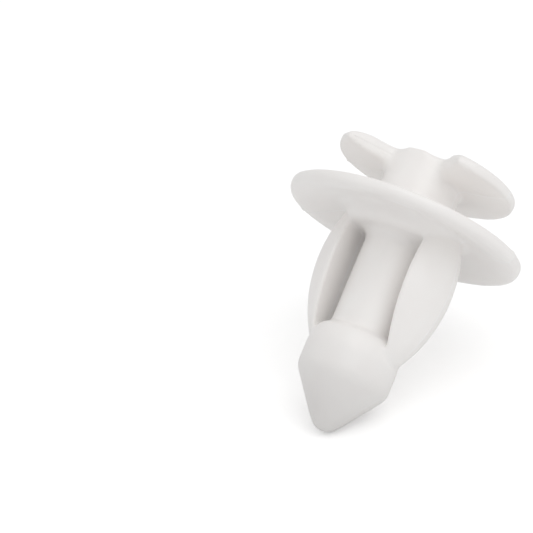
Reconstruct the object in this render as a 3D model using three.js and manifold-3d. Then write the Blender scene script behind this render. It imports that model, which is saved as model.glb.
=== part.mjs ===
// Push-in trim panel retainer clip, moulded in nylon.
// A notched round head and an umbrella-shaped spring flange, which opens towards the nose, hold
// a trim panel between them on a short neck.
// Behind the flange, two bowed legs beside a round core snap through a hole in sheet metal,
// and a conical nose leads them in.
//
// Millimetres, +Z up. The origin is the centre of the head's outer face, and +Z runs from the
// head to the nose. The notch opens towards -Y, and the legs lie on +X and -X.

import * as THREE from "three";
import { mergeVertices } from "three/addons/utils/BufferGeometryUtils.js";
import Module from "manifold-3d";

const wasm = await Module();
wasm.setup();

// Head: a round plate with a flat outer face and a notch cut from its edge to the neck.
const headRadius = 6.9;
const headFaceRadius = 5.0;
const headSeatRadius = 4.3;
const headThickness = 1.5;
// Points of the head's rim, from its outer face to its seat face.
const headRim = [
  [6.1, 0.15],
  [6.7, 0.4],
  [headRadius, 0.75],
  [6.8, 1.05],
  [6.45, 1.27],
];
const headInnerEdge = 0.1;
const neckFoot = 1.4;
const notchHalfAngle = THREE.MathUtils.degToRad(42);
const notchFloorRadius = 2.9;
const notchReach = 9;
const notchOverrun = 1;
const notchSegments = 10;

// Neck and flange.
const neckRadius = 2.95;
const neckFlare = [
  [neckRadius, 3.3],
  [3.15, 3.8],
];
const neckFlareRadius = 3.5;
const hubBottom = 4.0;
const hubEdgeBottom = 4.15;
const hubTop = 5.05;
const hubRadius = 5.25;
const flangeClearance = 0.05;
const flangeRadius = 9.0;
const flangeRimHeight = 5.365;
const flangeRimRound = 0.5;
const flangeRimSteps = 6;
const flangeLandRadius = 7.9;

// Shank: the collar, the core and the two legs.
const collarFlank = [
  [4.9, hubTop],
  [4.55, 5.4],
  [4.4, 6.05],
  [4.2, 6.6],
];
const collarTop = 6.6;
const coreRadius = 2.4;
const coreTop = 14.0;
const legInnerFace = 3.2;
const legAxis = 2.13;
const legApexReach = 5.37;
const legApexHeight = 9.3;
const legBowRadius = 11.5;
const legRootTop = 7.4;
const legFootBottom = 13.2;
const legEnd = 15.4;
const legStep = 0.7;
const legBoxReach = 8;
const legBoxHalfWidth = 5;
const legBoxOverrun = 1;

// Nose.
const barrelRadius = 3.5;
const barrelShoulder = 15.3;
const shoulderSteps = 4;
const coneStart = 17.65;
const noseTip = 21.54;
const coneTip = [
  [1.25, 20.75],
  [0.94, 21.2],
  [0.475, 21.44],
];

// Segments round a full turn.
const wideRound = 48;
const narrowRound = 32;

const nylon = () =>
  new THREE.MeshStandardMaterial({ color: 0xe9e8e5, roughness: 0.38, metalness: 0 });

// A welded copy of a geometry: positions only, shared corners merged, collapsed faces dropped.
function weld(geometry) {
  const bare = geometry.clone();
  bare.deleteAttribute("normal");
  bare.deleteAttribute("uv");
  const welded = mergeVertices(bare, 1e-5);
  const corners = welded.index.array;
  const kept = [];
  for (let i = 0; i < corners.length; i += 3) {
    const [a, b, c] = [corners[i], corners[i + 1], corners[i + 2]];
    if (a !== b && b !== c && c !== a) kept.push(a, b, c);
  }
  welded.setIndex(kept);
  return welded;
}

// A geometry as a manifold solid, and back.
function toSolid(geometry) {
  const welded = weld(geometry);
  const vertProperties = new Float32Array(welded.attributes.position.array);
  const triVerts = new Uint32Array(welded.index.array);
  return new wasm.Manifold(new wasm.Mesh({ numProp: 3, vertProperties, triVerts }));
}

function toGeometry(solid) {
  const { vertProperties, triVerts } = solid.getMesh();
  const geometry = new THREE.BufferGeometry();
  geometry.setAttribute("position", new THREE.BufferAttribute(new Float32Array(vertProperties), 3));
  geometry.setIndex(new THREE.BufferAttribute(new Uint32Array(triVerts), 1));
  geometry.computeVertexNormals();
  return geometry;
}

// A profile of [radius, height] points turned round the Z axis.
function turned(profile, segments) {
  const points = profile.map(([radius, height]) => new THREE.Vector2(radius, height));
  return new THREE.LatheGeometry(points, segments).rotateX(Math.PI / 2);
}

// A box between two corners.
function boxBetween(low, high) {
  const size = high.map((value, i) => value - low[i]);
  const middle = high.map((value, i) => (value + low[i]) / 2);
  return new THREE.BoxGeometry(...size).translate(...middle);
}

// Points along a quarter round, from one angle to another, about a centre in the profile.
function arc(centreRadius, centreHeight, round, from, to, steps) {
  return Array.from({ length: steps + 1 }, (_, i) => {
    const angle = from + ((to - from) * i) / steps;
    return [centreRadius + round * Math.cos(angle), centreHeight + round * Math.sin(angle)];
  });
}

function headPlate() {
  const plate = turned(
    [
      [0, 0],
      [headFaceRadius, 0],
      ...headRim,
      [headSeatRadius, headThickness],
      [neckRadius + headInnerEdge, headThickness],
      [neckRadius, neckFoot],
      [0, neckFoot],
    ],
    wideRound,
  );
  const wedge = new THREE.Shape();
  const from = -Math.PI / 2 - notchHalfAngle;
  const to = -Math.PI / 2 + notchHalfAngle;
  wedge.absarc(0, 0, notchFloorRadius, from, to, false);
  wedge.absarc(0, 0, notchReach, to, from, true);
  wedge.closePath();
  const notch = new THREE.ExtrudeGeometry(wedge, {
    depth: headThickness + 2 * notchOverrun,
    bevelEnabled: false,
    curveSegments: notchSegments,
  }).translate(0, 0, -notchOverrun);
  return toGeometry(toSolid(plate).subtract(toSolid(notch)));
}

function neckPost() {
  return turned(
    [
      [0, neckFoot],
      [neckRadius, neckFoot],
      ...neckFlare,
      [neckFlareRadius, hubBottom],
      [0, hubBottom],
    ],
    narrowRound,
  );
}

function flangeHub() {
  return turned(
    [
      [0, hubBottom],
      [neckFlareRadius, hubBottom],
      [hubRadius, hubEdgeBottom],
      [hubRadius, hubTop],
      [0, hubTop],
    ],
    wideRound,
  );
}

// The flexible ring of the flange: it opens towards the nose like an umbrella. Its rounded rim
// ends in a narrow flat land, which bears on the sheet metal.
function springFlange() {
  const inner = hubRadius + flangeClearance;
  const rim = arc(
    flangeRadius - flangeRimRound,
    flangeRimHeight,
    flangeRimRound,
    -Math.PI / 2,
    Math.PI / 2,
    flangeRimSteps,
  );
  return turned(
    [
      [inner, hubEdgeBottom],
      ...rim,
      [flangeLandRadius, flangeRimHeight + flangeRimRound],
      [inner, hubTop],
      [inner, hubEdgeBottom],
    ],
    wideRound,
  );
}

// How far a leg's outer face stands from the clip's axis at a height.
function legReach(height) {
  const along = height - legApexHeight;
  return legApexReach - (legBowRadius - Math.sqrt(legBowRadius ** 2 - along ** 2));
}

// A leg between two heights: a bowed spindle, turned about its own axis, with a flat inner face.
function legSlice(bottom, top) {
  const count = Math.ceil((top - bottom) / legStep);
  const flank = Array.from({ length: count + 1 }, (_, i) => {
    const height = bottom + ((top - bottom) * i) / count;
    return [legReach(height) - legAxis, height];
  });
  const spindle = turned([[0, bottom], ...flank, [0, top]], narrowRound).translate(legAxis, 0, 0);
  const outside = boxBetween(
    [legInnerFace, -legBoxHalfWidth, bottom - legBoxOverrun],
    [legBoxReach, legBoxHalfWidth, top + legBoxOverrun],
  );
  return toSolid(spindle).intersect(toSolid(outside));
}

function bothSides(solid) {
  return solid.add(solid.rotate([0, 0, 180]));
}

function shankCollar() {
  const boss = turned([[0, hubTop], ...collarFlank, [0, collarTop]], narrowRound);
  return toGeometry(toSolid(boss).add(bothSides(legSlice(hubTop, collarTop))));
}

function shankCore() {
  return turned(
    [
      [0, collarTop],
      [coreRadius, collarTop],
      [coreRadius, coreTop],
      [0, coreTop],
    ],
    narrowRound,
  );
}

// The nose's barrel: its shoulder rounds up from the core and takes the ends of both legs.
function noseBarrel() {
  const rise = barrelShoulder - coreTop;
  const shoulder = Array.from({ length: shoulderSteps + 1 }, (_, i) => {
    const angle = (Math.PI / 2) * (1 - i / shoulderSteps);
    const radius = coreRadius + (barrelRadius - coreRadius) * Math.cos(angle);
    return [radius, barrelShoulder - rise * Math.sin(angle)];
  });
  const barrel = turned(
    [[0, coreTop], ...shoulder, [barrelRadius, coneStart], [0, coneStart]],
    narrowRound,
  );
  return toGeometry(toSolid(barrel).add(bothSides(legSlice(coreTop, legEnd))));
}

function noseCone() {
  return turned(
    [[0, coneStart], [barrelRadius, coneStart], ...coneTip, [0, noseTip]],
    narrowRound,
  );
}

const clip = new THREE.Group();

function place(name, geometry, turn = 0) {
  const piece = new THREE.Mesh(geometry, nylon());
  piece.name = name;
  piece.rotation.z = turn;
  clip.add(piece);
}

place("head_plate", headPlate());
place("neck_post", neckPost());
place("flange_hub", flangeHub());
place("spring_flange", springFlange());
place("shank_collar", shankCollar());
place("shank_core", shankCore());
place("nose_barrel", noseBarrel());
place("nose_cone", noseCone());

const sides = [
  ["right", 0],
  ["left", Math.PI],
];
for (const [side, turn] of sides) {
  place(`${side}_leg_root`, toGeometry(legSlice(collarTop, legRootTop)), turn);
  place(`${side}_leg_upper_bow`, toGeometry(legSlice(legRootTop, legApexHeight)), turn);
  place(`${side}_leg_lower_bow`, toGeometry(legSlice(legApexHeight, legFootBottom)), turn);
  place(`${side}_leg_foot`, toGeometry(legSlice(legFootBottom, coreTop)), turn);
}

export default clip;
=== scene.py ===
import math

import bpy
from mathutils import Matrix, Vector


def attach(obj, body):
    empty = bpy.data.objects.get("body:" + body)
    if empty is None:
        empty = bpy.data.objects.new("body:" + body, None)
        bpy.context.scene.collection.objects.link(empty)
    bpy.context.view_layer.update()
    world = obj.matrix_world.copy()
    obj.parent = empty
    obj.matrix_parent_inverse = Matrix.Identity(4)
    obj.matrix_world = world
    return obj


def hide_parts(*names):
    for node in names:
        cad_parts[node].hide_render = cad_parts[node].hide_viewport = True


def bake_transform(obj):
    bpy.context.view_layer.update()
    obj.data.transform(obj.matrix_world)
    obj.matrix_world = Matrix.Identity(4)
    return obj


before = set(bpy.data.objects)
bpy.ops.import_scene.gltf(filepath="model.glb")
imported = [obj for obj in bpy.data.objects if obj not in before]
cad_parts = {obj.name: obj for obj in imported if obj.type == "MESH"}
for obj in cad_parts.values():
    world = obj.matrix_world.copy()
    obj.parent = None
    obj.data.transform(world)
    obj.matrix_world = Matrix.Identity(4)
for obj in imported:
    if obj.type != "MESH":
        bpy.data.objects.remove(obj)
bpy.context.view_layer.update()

# ---------------------------------------------------------------------------------------------
# Head and neck. A round plate with a flat outer face, thinner towards its rim, carried on a short
# round neck with soft fillets. The whole clip is one nylon moulding, so every region is first
# shaped on its own, in millimetres, and is fused with its neighbours further down.
# ---------------------------------------------------------------------------------------------
head_corners = (
    # radius, height, and how far the corner is softened along both of its sides
    (0.0, 0.0, 0.0),
    (5.8, 0.0, 0.9),
    (6.92, 0.52, 0.3),
    (6.84, 1.2, 0.18),
    (4.3, 1.48, 0.8),
    (0.0, 1.48, 0.0),
)
neck_corners = (
    (0.0, 0.1, 0.0),
    (2.95, 0.1, 0.0),
    (2.95, 4.3, 0.0),
    (0.0, 4.3, 0.0),
)
head_radius = 6.9
turn_steps = 128
merge_distance = 0.002


def softened(corners, steps=8):
    """A profile's points, with every corner that asks for it led round on a curve."""
    points = []
    for i, (radius, height, reach) in enumerate(corners):
        here = Vector((radius, 0.0, height))
        if reach == 0.0:
            points.append(here)
            continue
        before = Vector((corners[i - 1][0], 0.0, corners[i - 1][1]))
        after = Vector((corners[i + 1][0], 0.0, corners[i + 1][1]))
        start = here.lerp(before, reach / (before - here).length)
        end = here.lerp(after, reach / (after - here).length)
        for k in range(steps + 1):
            t = k / steps
            points.append(start.lerp(here, t).lerp(here.lerp(end, t), t))
    return points


def turned(name, corners, axis_x=0.0):
    """A solid turned from a profile, as clay on a wheel, about an upright axis. The profile starts
    as a small plane that is merged into one point and drawn out from corner to corner."""
    points = softened(corners)
    bpy.ops.object.select_all(action="DESELECT")
    bpy.ops.mesh.primitive_plane_add(size=0.1, location=points[0])
    solid = bpy.context.object
    solid.name = name
    bpy.ops.object.transform_apply(location=True, rotation=True, scale=True)
    bpy.ops.object.mode_set(mode="EDIT")
    bpy.ops.mesh.select_all(action="SELECT")
    bpy.ops.mesh.merge(type="CENTER")
    for here, there in zip(points, points[1:]):
        bpy.ops.mesh.extrude_region_move(TRANSFORM_OT_translate={"value": there - here})
    bpy.ops.mesh.select_all(action="SELECT")
    bpy.ops.mesh.spin(
        steps=turn_steps, angle=2 * math.pi, center=(axis_x, 0.0, 0.0), axis=(0.0, 0.0, 1.0)
    )
    bpy.ops.mesh.select_all(action="SELECT")
    bpy.ops.mesh.remove_doubles(threshold=merge_distance)
    bpy.ops.mesh.normals_make_consistent(inside=False)
    bpy.ops.object.mode_set(mode="OBJECT")
    return solid


def use_modifier(solid, kind, **settings):
    """Adds a modifier, sets it and applies it."""
    bpy.ops.object.select_all(action="DESELECT")
    solid.select_set(True)
    bpy.context.view_layer.objects.active = solid
    modifier = solid.modifiers.new(kind.lower(), kind)
    for key, value in settings.items():
        setattr(modifier, key, value)
    bpy.ops.object.modifier_apply(modifier=modifier.name)


head = turned("head", head_corners)

# The notch is a sector of 84 degrees, open to the front, with its round floor on the neck.
notch_half_angle = math.radians(42)
notch_floor_radius = 2.93
notch_reach = 12.0
notch_top = 2.2

bpy.ops.object.select_all(action="DESELECT")
bpy.ops.mesh.primitive_cube_add(
    size=1.0,
    location=(0.0, -notch_reach / 2, 0.0),
    scale=(2 * notch_reach, notch_reach, 2 * notch_top),
)
notch = bpy.context.object
bpy.ops.object.transform_apply(location=True, rotation=True, scale=True)
bpy.ops.object.mode_set(mode="EDIT")
for side in (1, -1):
    bpy.ops.mesh.select_all(action="SELECT")
    bpy.ops.mesh.bisect(
        plane_co=(0.0, 0.0, 0.0),
        plane_no=(side * math.cos(notch_half_angle), math.sin(notch_half_angle), 0.0),
        use_fill=True,
        clear_outer=True,
    )
bpy.ops.object.mode_set(mode="OBJECT")
bpy.ops.mesh.primitive_cylinder_add(
    vertices=turn_steps, radius=notch_floor_radius, depth=4 * notch_top, location=(0.0, 0.0, 0.0)
)
floor_post = bpy.context.object
use_modifier(notch, "BOOLEAN", operation="DIFFERENCE", object=floor_post, solver="EXACT")
use_modifier(head, "BOOLEAN", operation="DIFFERENCE", object=notch, solver="EXACT")
bpy.data.objects.remove(floor_post)
bpy.data.objects.remove(notch)
neck = turned("neck", neck_corners)

# ---------------------------------------------------------------------------------------------
# Spring flange and collar. A thin umbrella that opens towards the nose: it leaves the neck in a
# soft flare, rises to a rounded rim with a narrow flat land, and its hollow runs in a cove into
# the collar from which the core and both legs grow.
# ---------------------------------------------------------------------------------------------
flange_corners = (
    (0.0, 3.0, 0.0),
    (2.95, 3.0, 0.0),
    (2.95, 4.02, 0.8),
    (5.3, 4.15, 1.4),
    (9.03, 5.0, 0.16),
    (9.03, 5.87, 0.6),
    (7.7, 5.865, 0.5),
    (5.8, 5.18, 0.9),
    (4.72, 5.0, 0.7),
    (4.25, 6.36, 0.95),
    (2.45, 6.42, 0.8),
    (2.35, 8.0, 0.0),
    (0.0, 8.0, 0.0),
)
flange = turned("flange", flange_corners)

# ---------------------------------------------------------------------------------------------
# Core and nose. The core is a plain round stem. It swells in a dome to the barrel of the nose,
# and the cone ends in a blunt rounded tip that finds the hole in the sheet metal.
# ---------------------------------------------------------------------------------------------
core_radius = 2.4
nose_corners = (
    (0.0, 6.0, 0.0),
    (core_radius, 6.0, 0.0),
    (core_radius, 13.95, 0.45),
    (3.05, 14.15, 0.35),
    (3.5, 15.2, 0.7),
    (3.5, 17.65, 0.5),
    (1.2, 20.83, 0.5),
    (0.55, 21.54, 0.5),
    (0.0, 21.54, 0.0),
)
nose = turned("nose", nose_corners)

# ---------------------------------------------------------------------------------------------
# Legs. Two bowed springs, one on each side of the core. Each is a slice of a spindle: a round
# outer face, a flat inner face and a fairly sharp crest where the two meet. Their roots grow out
# of the collar and their feet run into the barrel.
# ---------------------------------------------------------------------------------------------
leg_axis = 2.13
leg_inner_face = 3.05
leg_apex_height = 9.3
leg_apex_reach = 5.37
leg_bow_radius = 11.5
leg_start = 5.2
leg_end = 15.9
leg_steps = 24

leg_corners = [(0.0, leg_start, 0.0)]
for i in range(leg_steps + 1):
    height = leg_start + (leg_end - leg_start) * i / leg_steps
    fall = leg_bow_radius - math.sqrt(leg_bow_radius**2 - (height - leg_apex_height) ** 2)
    leg_corners.append((leg_apex_reach - fall - leg_axis, height, 0.0))
leg_corners.append((0.0, leg_end, 0.0))

legs = []
for side in (1, -1):
    shifted = [(leg_axis + radius, height, reach) for radius, height, reach in leg_corners]
    leg = turned("leg", shifted, axis_x=leg_axis)
    bpy.ops.object.select_all(action="DESELECT")
    leg.select_set(True)
    bpy.context.view_layer.objects.active = leg
    bpy.ops.object.mode_set(mode="EDIT")
    bpy.ops.mesh.select_all(action="SELECT")
    bpy.ops.mesh.bisect(
        plane_co=(leg_inner_face, 0.0, 0.0),
        plane_no=(1.0, 0.0, 0.0),
        use_fill=True,
        clear_inner=True,
    )
    bpy.ops.object.mode_set(mode="OBJECT")
    if side < 0:
        leg.rotation_euler = (0.0, 0.0, math.pi)
        bpy.ops.object.transform_apply(location=True, rotation=True, scale=True)
    legs.append(leg)

# ---------------------------------------------------------------------------------------------
# One moulding. The regions are fused into a single skin of even small facets, softened all over
# as a moulded edge is, and softened more in the corners where one region runs into another.
# ---------------------------------------------------------------------------------------------
facet = 0.08
smoothing = 0.5

bpy.ops.object.select_all(action="DESELECT")
for solid in [head, neck, flange, nose] + legs:
    solid.select_set(True)
bpy.context.view_layer.objects.active = head
bpy.ops.object.join()
clip = bpy.context.object
clip.name = "moulding"
use_modifier(clip, "REMESH", mode="VOXEL", voxel_size=facet)


def nearness(distance, full, none):
    """1 up to the full distance, 0 from the none distance, and a smooth fall between them."""
    t = min(max((none - distance) / (none - full), 0.0), 1.0)
    return t * t * (3 - 2 * t)


def within(value, band):
    """The same for a band, given as its middle and its half widths at full and at no weight."""
    middle, full, none = band
    return nearness(abs(value - middle), full, none)


def beyond(value, full, none):
    """The other way round: 0 up to the none distance and 1 from the full distance."""
    return nearness(-value, -full, -none)


# Bands across the clip and along it, in millimetres, that take the extra softening.
leg_side_band = (3.6, 1.5, 2.2)
leg_root_band = (5.9, 0.6, 1.2)
leg_foot_band = (14.8, 0.5, 1.1)
crest_side_band = (3.2, 0.5, 1.2)
crest_height_band = (10.4, 3.2, 4.4)
neck_wall_band = (3.1, 0.7, 1.6)
neck_height_band = (1.7, 0.5, 1.3)
ear_tip_band = (head_radius, 1.0, 2.4)
flange_face_band = (7.1, 0.9, 1.4)
flange_height_band = (5.0, 1.0, 1.3)


def corner_weight(x, y, z):
    """How much softening a point gets, for the corners beside the legs."""
    return within(abs(x), leg_side_band) * max(within(z, leg_root_band), within(z, leg_foot_band))


def crest_weight(x, y, z):
    """The same for the crests of the legs, which are well rounded between root and foot."""
    crest = within(abs(x), crest_side_band) * beyond(abs(y), 1.9, 1.2)
    return crest * within(z, crest_height_band)


def neck_weight(x, y, z):
    """The same for the wide fillet between the neck and the underside of the ears."""
    return within(z, neck_height_band) * within(math.hypot(x, y), neck_wall_band)


def notch_weight(x, y, z):
    """The same for the edges of the notch, most of all at the neck and at the ears' tips."""
    if z > 2.6 or y > 0.5:
        return 0.0
    angle = abs(math.atan2(x, -y))
    radius = math.hypot(x, y)
    ends = max(within(radius, ear_tip_band), nearness(radius, 4.2, 5.2))
    edge = nearness(abs(angle - notch_half_angle) * radius, 0.7, 1.5)
    return (0.5 + 0.5 * ends) * edge * nearness(z, 2.0, 2.6)


def flange_weight(x, y, z):
    """The same for the two broad faces of the flange, which are smooth right round."""
    return within(math.hypot(x, y), flange_face_band) * within(z, flange_height_band)


def soften(solid, weight, repeats):
    """Relaxes the skin where the weight function says."""
    group = solid.vertex_groups.new(name="soften")
    for vertex in solid.data.vertices:
        amount = weight(*vertex.co)
        if amount > 0.0:
            group.add([vertex.index], amount, "REPLACE")
    use_modifier(solid, "SMOOTH", factor=smoothing, iterations=repeats, vertex_group="soften")
    solid.vertex_groups.clear()


use_modifier(clip, "SMOOTH", factor=smoothing, iterations=8)
soften(clip, corner_weight, 40)
soften(clip, crest_weight, 60)
soften(clip, neck_weight, 150)
soften(clip, notch_weight, 180)
soften(clip, flange_weight, 60)

# The two halves of the mould meet on the plane through both legs, and leave a hair-fine ridge
# along it on the ears, the flange and the legs. It's cut into the skin as a line of points that
# then stand a little proud, on the crest of a very flat crease.
# A third part of the mould shapes the outer face. It meets the other two in a fine witness line
# half way up the walls of the notch.
ridge_height = 0.03
ridge_reach = 0.075
crease_height = 0.03
crease_reach = 0.9
witness_height = 0.76
witness_depth = 0.025
witness_reach = 0.06
witness_start = 3.1
witness_angle = 0.06
head_top = 1.8
flange_top = 6.1
leg_ridge_band = (10.2, 3.4, 4.0)


def ridge_share(reach, z):
    """How much of the ridge shows: all of it on the ears, the flange and the legs' outer faces."""
    if z < head_top:
        return beyond(reach, 4.4, 3.6) * beyond(z, 1.0, 0.8)
    if z < flange_top:
        return beyond(reach, 6.4, 5.7) * beyond(z, 4.9, 4.6)
    return beyond(reach, 3.9, 3.5) * within(z, leg_ridge_band)


bpy.ops.object.mode_set(mode="EDIT")
for offset in (-ridge_reach, 0.0, ridge_reach):
    bpy.ops.mesh.select_all(action="SELECT")
    bpy.ops.mesh.bisect(plane_co=(0.0, offset, 0.0), plane_no=(0.0, 1.0, 0.0))
for offset in (-witness_reach, 0.0, witness_reach):
    bpy.ops.mesh.select_all(action="SELECT")
    bpy.ops.mesh.bisect(plane_co=(0.0, 0.0, witness_height + offset), plane_no=(0.0, 0.0, 1.0))
bpy.ops.object.mode_set(mode="OBJECT")
moved = []
for vertex in clip.data.vertices:
    x, y, z = vertex.co
    lift = ridge_height * max(1 - abs(y) / ridge_reach, 0.0)
    lift += crease_height * max(1 - abs(y) / crease_reach, 0.0) ** 2
    lift *= ridge_share(abs(x), z)
    off_wall = abs(abs(math.atan2(x, -y)) - notch_half_angle)
    if math.hypot(x, y) > witness_start and off_wall < witness_angle:
        lift -= witness_depth * max(1 - abs(z - witness_height) / witness_reach, 0.0)
    if lift:
        moved.append((vertex.index, vertex.co + vertex.normal * lift))
for index, spot in moved:
    clip.data.vertices[index].co = spot

# The moulding goes from millimetres to metres, where the fixed frame is.
mm = 0.001
clip.scale = (mm, mm, mm)
bpy.ops.object.select_all(action="DESELECT")
clip.select_set(True)
bpy.context.view_layer.objects.active = clip
bpy.ops.object.transform_apply(location=True, rotation=True, scale=True)
bpy.ops.object.shade_smooth()

# ---------------------------------------------------------------------------------------------
# Nylon. Natural polyamide 6.6, injection moulded and left uncoloured: a milky white with a soft
# satin shine, faint clouding where the melt flowed, and the fine even grain of a spark-eroded
# mould.
# ---------------------------------------------------------------------------------------------


def linear(code):
    """An sRGB hex colour as the linear values a shader takes."""
    parts = [int(code[i : i + 2], 16) / 255 for i in (1, 3, 5)]
    return [c / 12.92 if c <= 0.04045 else ((c + 0.055) / 1.055) ** 2.4 for c in parts] + [1.0]


def add_node(tree, kind, settings=None, values=None, links=None):
    """A shader node with its settings, its own values, and links from other nodes' outputs."""
    node = tree.nodes.new(kind)
    for key, value in (settings or {}).items():
        setattr(node, key, value)
    for key, value in (values or {}).items():
        node.inputs[key].default_value = value
    for key, output in (links or {}).items():
        tree.links.new(output, node.inputs[key])
    return node


nylon = bpy.data.materials.new("natural nylon, injection moulded")
nylon.use_nodes = True
tree = nylon.node_tree
tree.nodes.clear()
place = add_node(tree, "ShaderNodeTexCoord").outputs["Object"]
# Clouds about 2.5 mm across, where the melt cooled a little sooner or later.
clouds = add_node(
    tree, "ShaderNodeTexNoise", values={"Scale": 400.0, "Detail": 2.0}, links={"Vector": place}
)
tint = add_node(tree, "ShaderNodeValToRGB", links={"Fac": clouds.outputs["Fac"]})
tint.color_ramp.elements[0].position = 0.3
tint.color_ramp.elements[0].color = linear("#faf7f5")
tint.color_ramp.elements[1].position = 0.7
tint.color_ramp.elements[1].color = linear("#fcfaf8")
# Painted shade: the colour darkens along the nose, most of all at its tip, standing in for the
# light that glows through the thin flange and ears but less through the solid nose.
apart = add_node(tree, "ShaderNodeSeparateXYZ", links={"Vector": place})
painted_nose_shade = add_node(
    tree,
    "ShaderNodeMapRange",
    settings={"interpolation_type": "SMOOTHSTEP"},
    values={"From Min": 0.0135, "From Max": 0.022, "To Min": 1.0, "To Max": 0.78},
    links={"Value": apart.outputs["Z"]},
)
tint_with_painted_shade = add_node(
    tree,
    "ShaderNodeMix",
    settings={"data_type": "RGBA", "blend_type": "MULTIPLY"},
    values={0: 1.0},
    links={6: tint.outputs["Color"], 7: painted_nose_shade.outputs["Result"]},
)
# Painted highlight: the hair-fine edge where the mould's halves meet is painted a little whiter,
# as if it caught the light, except on the nose. It's 0.1 mm wide.
aside = add_node(
    tree, "ShaderNodeMath", settings={"operation": "ABSOLUTE"}, links={0: apart.outputs["Y"]}
)
edge = add_node(
    tree,
    "ShaderNodeMapRange",
    values={"From Min": 0.000035, "From Max": 0.00007, "To Min": 0.7, "To Max": 0.0},
    links={"Value": aside.outputs[0]},
)
behind = add_node(
    tree,
    "ShaderNodeMapRange",
    values={"From Min": 0.0138, "From Max": 0.0146, "To Min": 1.0, "To Max": 0.0},
    links={"Value": apart.outputs["Z"]},
)
line = add_node(
    tree,
    "ShaderNodeMath",
    settings={"operation": "MULTIPLY"},
    links={0: edge.outputs["Result"], 1: behind.outputs["Result"]},
)
colour = add_node(
    tree,
    "ShaderNodeMix",
    settings={"data_type": "RGBA"},
    links={0: line.outputs[0], 6: tint_with_painted_shade.outputs[2]},
)
# The painted highlight's colour.
colour.inputs[7].default_value = linear("#ffffff")
# Satin that comes and goes over about 1 mm.
satin = add_node(
    tree, "ShaderNodeTexNoise", values={"Scale": 1000.0, "Detail": 3.0}, links={"Vector": place}
)
shine = add_node(
    tree,
    "ShaderNodeMapRange",
    values={"To Min": 0.3, "To Max": 0.38},
    links={"Value": satin.outputs["Fac"]},
)
# Mould grain: spark erosion leaves pits of about 0.02 mm, drawn here at 0.06 mm so they show.
grain = add_node(
    tree, "ShaderNodeTexNoise", values={"Scale": 16000.0, "Detail": 1.0}, links={"Vector": place}
)
relief = add_node(
    tree,
    "ShaderNodeBump",
    values={"Strength": 0.04, "Distance": 0.00001},
    links={"Height": grain.outputs["Fac"]},
)
body = add_node(
    tree,
    "ShaderNodeBsdfPrincipled",
    values={"IOR": 1.53, "Metallic": 0.0},
    links={
        "Base Color": colour.outputs[2],
        "Roughness": shine.outputs["Result"],
        "Normal": relief.outputs["Normal"],
    },
)
add_node(tree, "ShaderNodeOutputMaterial", links={"Surface": body.outputs["BSDF"]})
clip.data.materials.clear()
clip.data.materials.append(nylon)

# ---------------------------------------------------------------------------------------------
# The pieces. The moulding is parted into the regions that the clip works with, so that the
# flange and the legs can bend. The cuts are closed and lie inside, where nothing shows them.
# ---------------------------------------------------------------------------------------------
head_cut = 1.95
neck_cut = 3.6
collar_cut = 4.75
shank_start = 6.6
shank_end = 14.0
cone_cut = 17.2
cut_tolerance = 1e-7


def copied(solid, name):
    """A copy of a solid with its own mesh."""
    twin = solid.copy()
    twin.data = solid.data.copy()
    twin.name = name
    bpy.context.scene.collection.objects.link(twin)
    return twin


def trimmed(solid, point, normal):
    """Keeps what lies on the normal's side of a plane, and closes the cut."""
    bpy.ops.object.select_all(action="DESELECT")
    solid.select_set(True)
    bpy.context.view_layer.objects.active = solid
    bpy.ops.object.mode_set(mode="EDIT")
    bpy.ops.mesh.select_all(action="SELECT")
    bpy.ops.mesh.bisect(
        plane_co=point, plane_no=normal, threshold=cut_tolerance, use_fill=True, clear_inner=True
    )
    bpy.ops.object.mode_set(mode="OBJECT")


def parted(solid, name, point, normal):
    """Cuts off what lies on the normal's side of a plane, as a new piece. The solid keeps the rest."""
    piece = copied(solid, name)
    trimmed(piece, point, normal)
    trimmed(solid, point, -Vector(normal))
    return piece


def finish(piece, node, body_name=None):
    """Gives a piece the whole moulding's shading, hides the CAD node it stands for and,
    where it's rigid, hangs it on its body."""
    use_modifier(
        piece,
        "DATA_TRANSFER",
        object=whole,
        use_loop_data=True,
        data_types_loops={"CUSTOM_NORMAL"},
        loop_mapping="POLYINTERP_NEAREST",
    )
    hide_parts(node)
    if body_name:
        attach(piece, body_name)


up = Vector((0.0, 0.0, 1.0))
down = -up
whole = copied(clip, "whole")

head_piece = parted(clip, "head", (0.0, 0.0, head_cut * mm), down)
finish(head_piece, "head_plate", "clip_body")
neck_piece = parted(clip, "neck", (0.0, 0.0, neck_cut * mm), down)
finish(neck_piece, "neck_post", "clip_body")

cone_piece = parted(clip, "nose_tip", (0.0, 0.0, cone_cut * mm), up)
finish(cone_piece, "nose_cone", "clip_body")
barrel_piece = parted(clip, "nose_shoulder", (0.0, 0.0, shank_end * mm), up)
finish(barrel_piece, "nose_barrel", "clip_body")
shank = parted(clip, "core", (0.0, 0.0, shank_start * mm), up)

# Flange: eight petals, each the part of the flange beyond the hub in its own sector.
petals = 8
petal_root = 5.28
half_petal = math.pi / petals
for i in range(petals):
    angle = 2 * half_petal * i
    outwards = Vector((math.cos(angle), math.sin(angle), 0.0))
    petal = copied(clip, "flange_petal_" + str(i + 1))
    trimmed(petal, outwards * petal_root * mm, outwards)
    for side in (1, -1):
        border = angle + side * half_petal
        across = Vector((math.sin(border), -math.cos(border), 0.0)) * side
        trimmed(petal, (0.0, 0.0, 0.0), across)
    finish(petal, "spring_flange")
    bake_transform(petal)
for i in range(petals):
    angle = 2 * half_petal * i
    outwards = Vector((math.cos(angle), math.sin(angle), 0.0))
    trimmed(clip, outwards * petal_root * mm, -outwards)
collar_piece = parted(clip, "collar", (0.0, 0.0, collar_cut * mm), up)
finish(collar_piece, "shank_collar", "clip_body")
clip.name = "hub"
finish(clip, "flange_hub", "clip_body")

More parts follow.
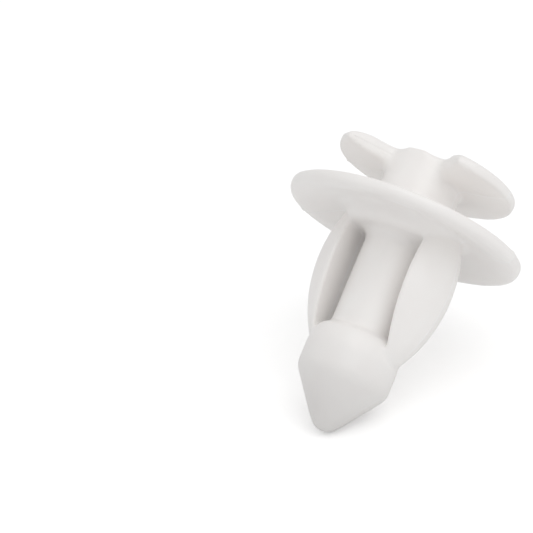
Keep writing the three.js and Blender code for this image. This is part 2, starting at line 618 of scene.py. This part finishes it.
# Legs: each is parted from the core down the middle of the slot, and then along its length.
slot_middle = 2.8
root_cut = 7.4
leg_bend_middle = 10.3
foot_cut = 13.2
for name, side in (("right", 1), ("left", -1)):
    outwards = Vector((side, 0.0, 0.0))
    leg = parted(shank, name + "_spring_root", outwards * slot_middle * mm, outwards)
    foot = parted(leg, name + "_spring_foot", (0.0, 0.0, foot_cut * mm), up)
    lower = parted(leg, name + "_spring_lower", (0.0, 0.0, leg_bend_middle * mm), up)
    upper = parted(leg, name + "_spring_upper", (0.0, 0.0, root_cut * mm), up)
    rows = (
        (leg, "_leg_root", shank_start),
        (upper, "_leg_upper_bow", shank_start),
        (lower, "_leg_lower_bow", shank_end),
        (foot, "_leg_foot", shank_end),
    )
    for piece, node, fixed_end in rows:
        finish(piece, name + node)
        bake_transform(piece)
finish(shank, "shank_core", "clip_body")
bpy.data.objects.remove(whole)

# ---------------------------------------------------------------------------------------------
# Camera, floor and light. The clip leans over a plain white sweep and touches it with its nose
# only, in soft and nearly even studio light.
# ---------------------------------------------------------------------------------------------
camera_data = bpy.data.cameras.new("camera")
camera_data.lens = 138.77
camera_data.sensor_width = 36.0
camera = bpy.data.objects.new("camera", camera_data)
camera.location = (-0.06986, -0.12890, 0.04400)
camera.rotation_euler = [math.radians(a) for a in (-76.638, 22.481, 153.502)]
bpy.context.scene.collection.objects.link(camera)
bpy.context.scene.camera = camera
bpy.context.scene.view_settings.view_transform = "Standard"

sky = -Vector((0.0, 0.75, 0.66)).normalized()
floor_depth = 0.01471
bpy.ops.object.select_all(action="DESELECT")
bpy.ops.mesh.primitive_plane_add(size=4.0, location=-sky * floor_depth)
floor = bpy.context.object
floor.name = "floor"
floor.rotation_euler = sky.to_track_quat("Z", "Y").to_euler()
paper = bpy.data.materials.new("matt white paper sweep")
paper.use_nodes = True
tree = paper.node_tree
tree.nodes.clear()
sheet = add_node(tree, "ShaderNodeBsdfDiffuse", values={"Color": linear("#fbfbfb")})
# The sweep is lit from behind just enough to read as plain white where nothing shades it.
seen = add_node(tree, "ShaderNodeLightPath")
glow = add_node(
    tree,
    "ShaderNodeMath",
    settings={"operation": "MULTIPLY"},
    values={1: 0.28},
    links={0: seen.outputs["Is Camera Ray"]},
)
backlight = add_node(tree, "ShaderNodeEmission", links={"Strength": glow.outputs[0]})
lit = add_node(tree, "ShaderNodeAddShader", links={0: sheet.outputs[0], 1: backlight.outputs[0]})
clear = add_node(tree, "ShaderNodeBsdfTransparent")
facing = add_node(tree, "ShaderNodeNewGeometry")
one_sided = add_node(
    tree,
    "ShaderNodeMixShader",
    links={0: facing.outputs["Backfacing"], 1: lit.outputs[0], 2: clear.outputs[0]},
)
add_node(tree, "ShaderNodeOutputMaterial", links={"Surface": one_sided.outputs[0]})
floor.data.materials.append(paper)

world = bpy.data.worlds.new("studio")
bpy.context.scene.world = world
world.use_nodes = True
world.node_tree.nodes["Background"].inputs["Color"].default_value = linear("#ffffff")
world.node_tree.nodes["Background"].inputs["Strength"].default_value = 0.69


def soft_light(name, direction, distance, size, power):
    """A large square lamp that faces the clip."""
    lamp = bpy.data.lights.new(name, "AREA")
    lamp.size = size
    lamp.energy = power
    holder = bpy.data.objects.new(name, lamp)
    holder.location = direction.normalized() * distance
    holder.rotation_euler = direction.to_track_quat("Z", "Y").to_euler()
    bpy.context.scene.collection.objects.link(holder)


soft_light("overhead", sky, distance=0.4, size=0.4, power=0.05)
soft_light("key", Vector((-0.45, -0.75, -0.45)), distance=0.12, size=0.1, power=0.032)
